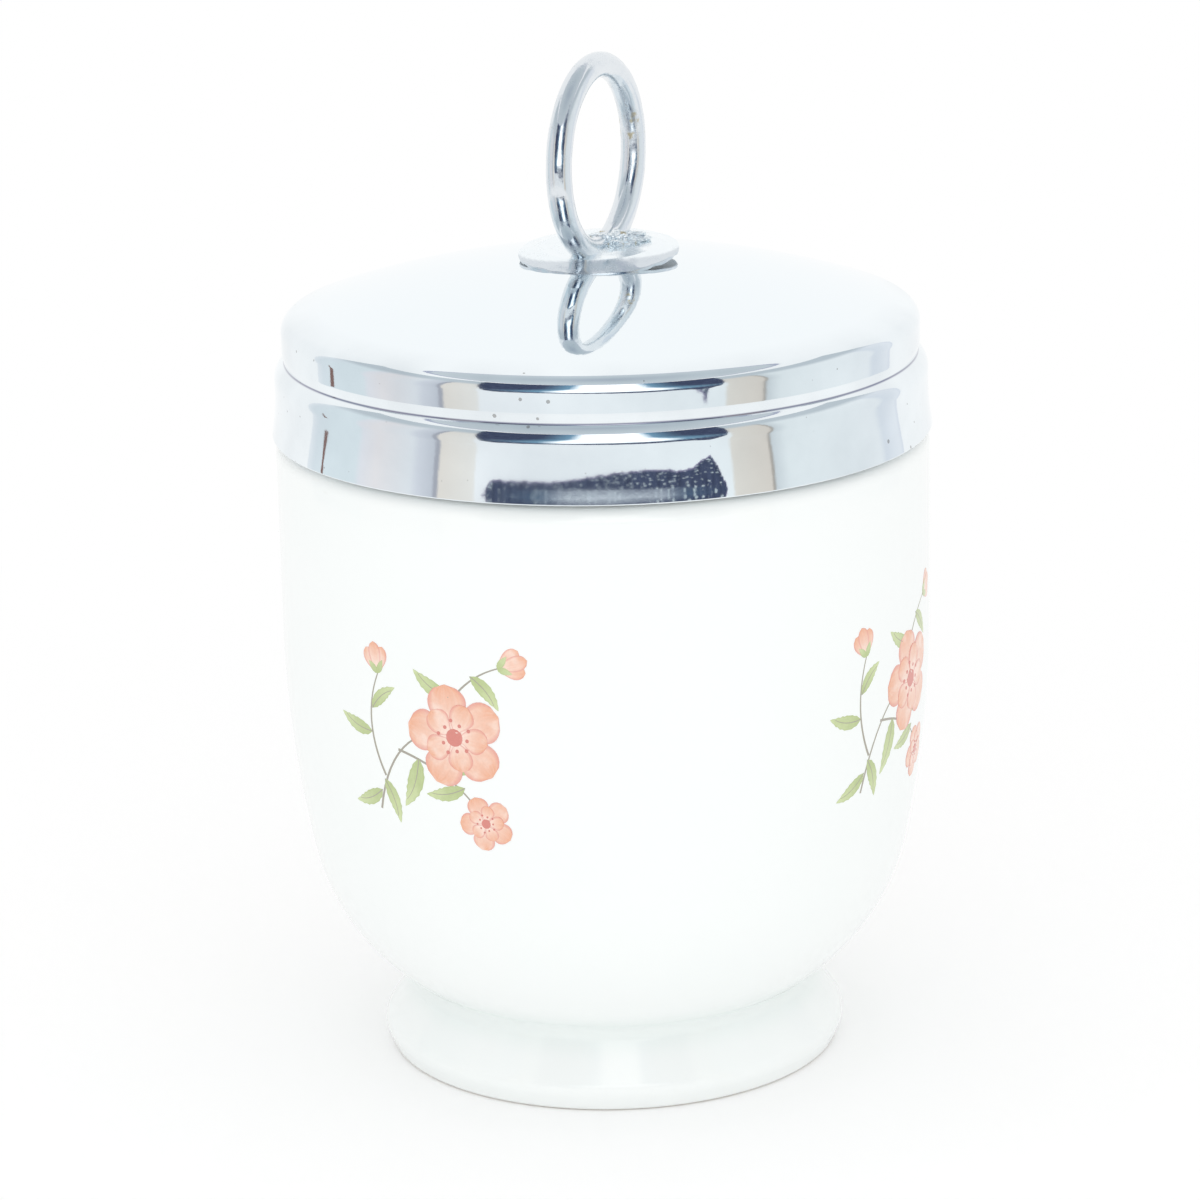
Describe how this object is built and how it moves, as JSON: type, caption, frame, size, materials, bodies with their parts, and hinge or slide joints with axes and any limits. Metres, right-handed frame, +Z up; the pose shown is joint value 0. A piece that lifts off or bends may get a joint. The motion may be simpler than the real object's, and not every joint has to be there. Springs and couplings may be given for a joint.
{
  "type": "porcelain egg coddler",
  "caption": "Footed porcelain cup with a chromed screw cap and an upright lifting ring, for coddling an egg in hot water.",
  "frame": {"origin": "centre of the foot's underside, on the surface that the cup stands on", "axes": "+Z up the cup's axis; X in the plane of the lifting ring, Y across it"},
  "size_m": [0.0648, 0.0648, 0.1002],
  "materials": {
    "glazed_porcelain": "gloss glaze",
    "chromed_cap": "bright chrome plate",
    "tinned_liner": "tinned, satin",
    "seal_rubber": "matt",
    "chromed_ring": "bright chrome plate",
    "chromed_disc": "bright chrome plate",
    "chromed_stud": "brazed and plated",
    "tinned_washer": "tinned, satin"
  },
  "bodies": {
    "cup": {"cup": "glazed_porcelain"},
    "seal": {"lid_seal": "seal_rubber"},
    "lid": {"lid_shell": "chromed_cap", "lid_liner": "tinned_liner", "lifting_ring": "chromed_ring", "finial_disc": "chromed_disc", "finial_stud": "chromed_stud", "stud_washer": "tinned_washer"}
  },
  "joints": [
    {"name": "lid_rise", "type": "slide", "parent": "cup", "child": "seal", "axis": [0, 0, 1], "range_m": [0, 0.012]},
    {"name": "lid_turn", "type": "hinge", "parent": "seal", "child": "lid", "pos_m": [0, 0, 0.0733], "axis": [0, 0, 1], "range_deg": [0, 1080]}
  ],
  "couplings": [
    {"joint": "lid_rise", "follows": "lid_turn", "m_per_rad": 0.00063662}
  ]
}
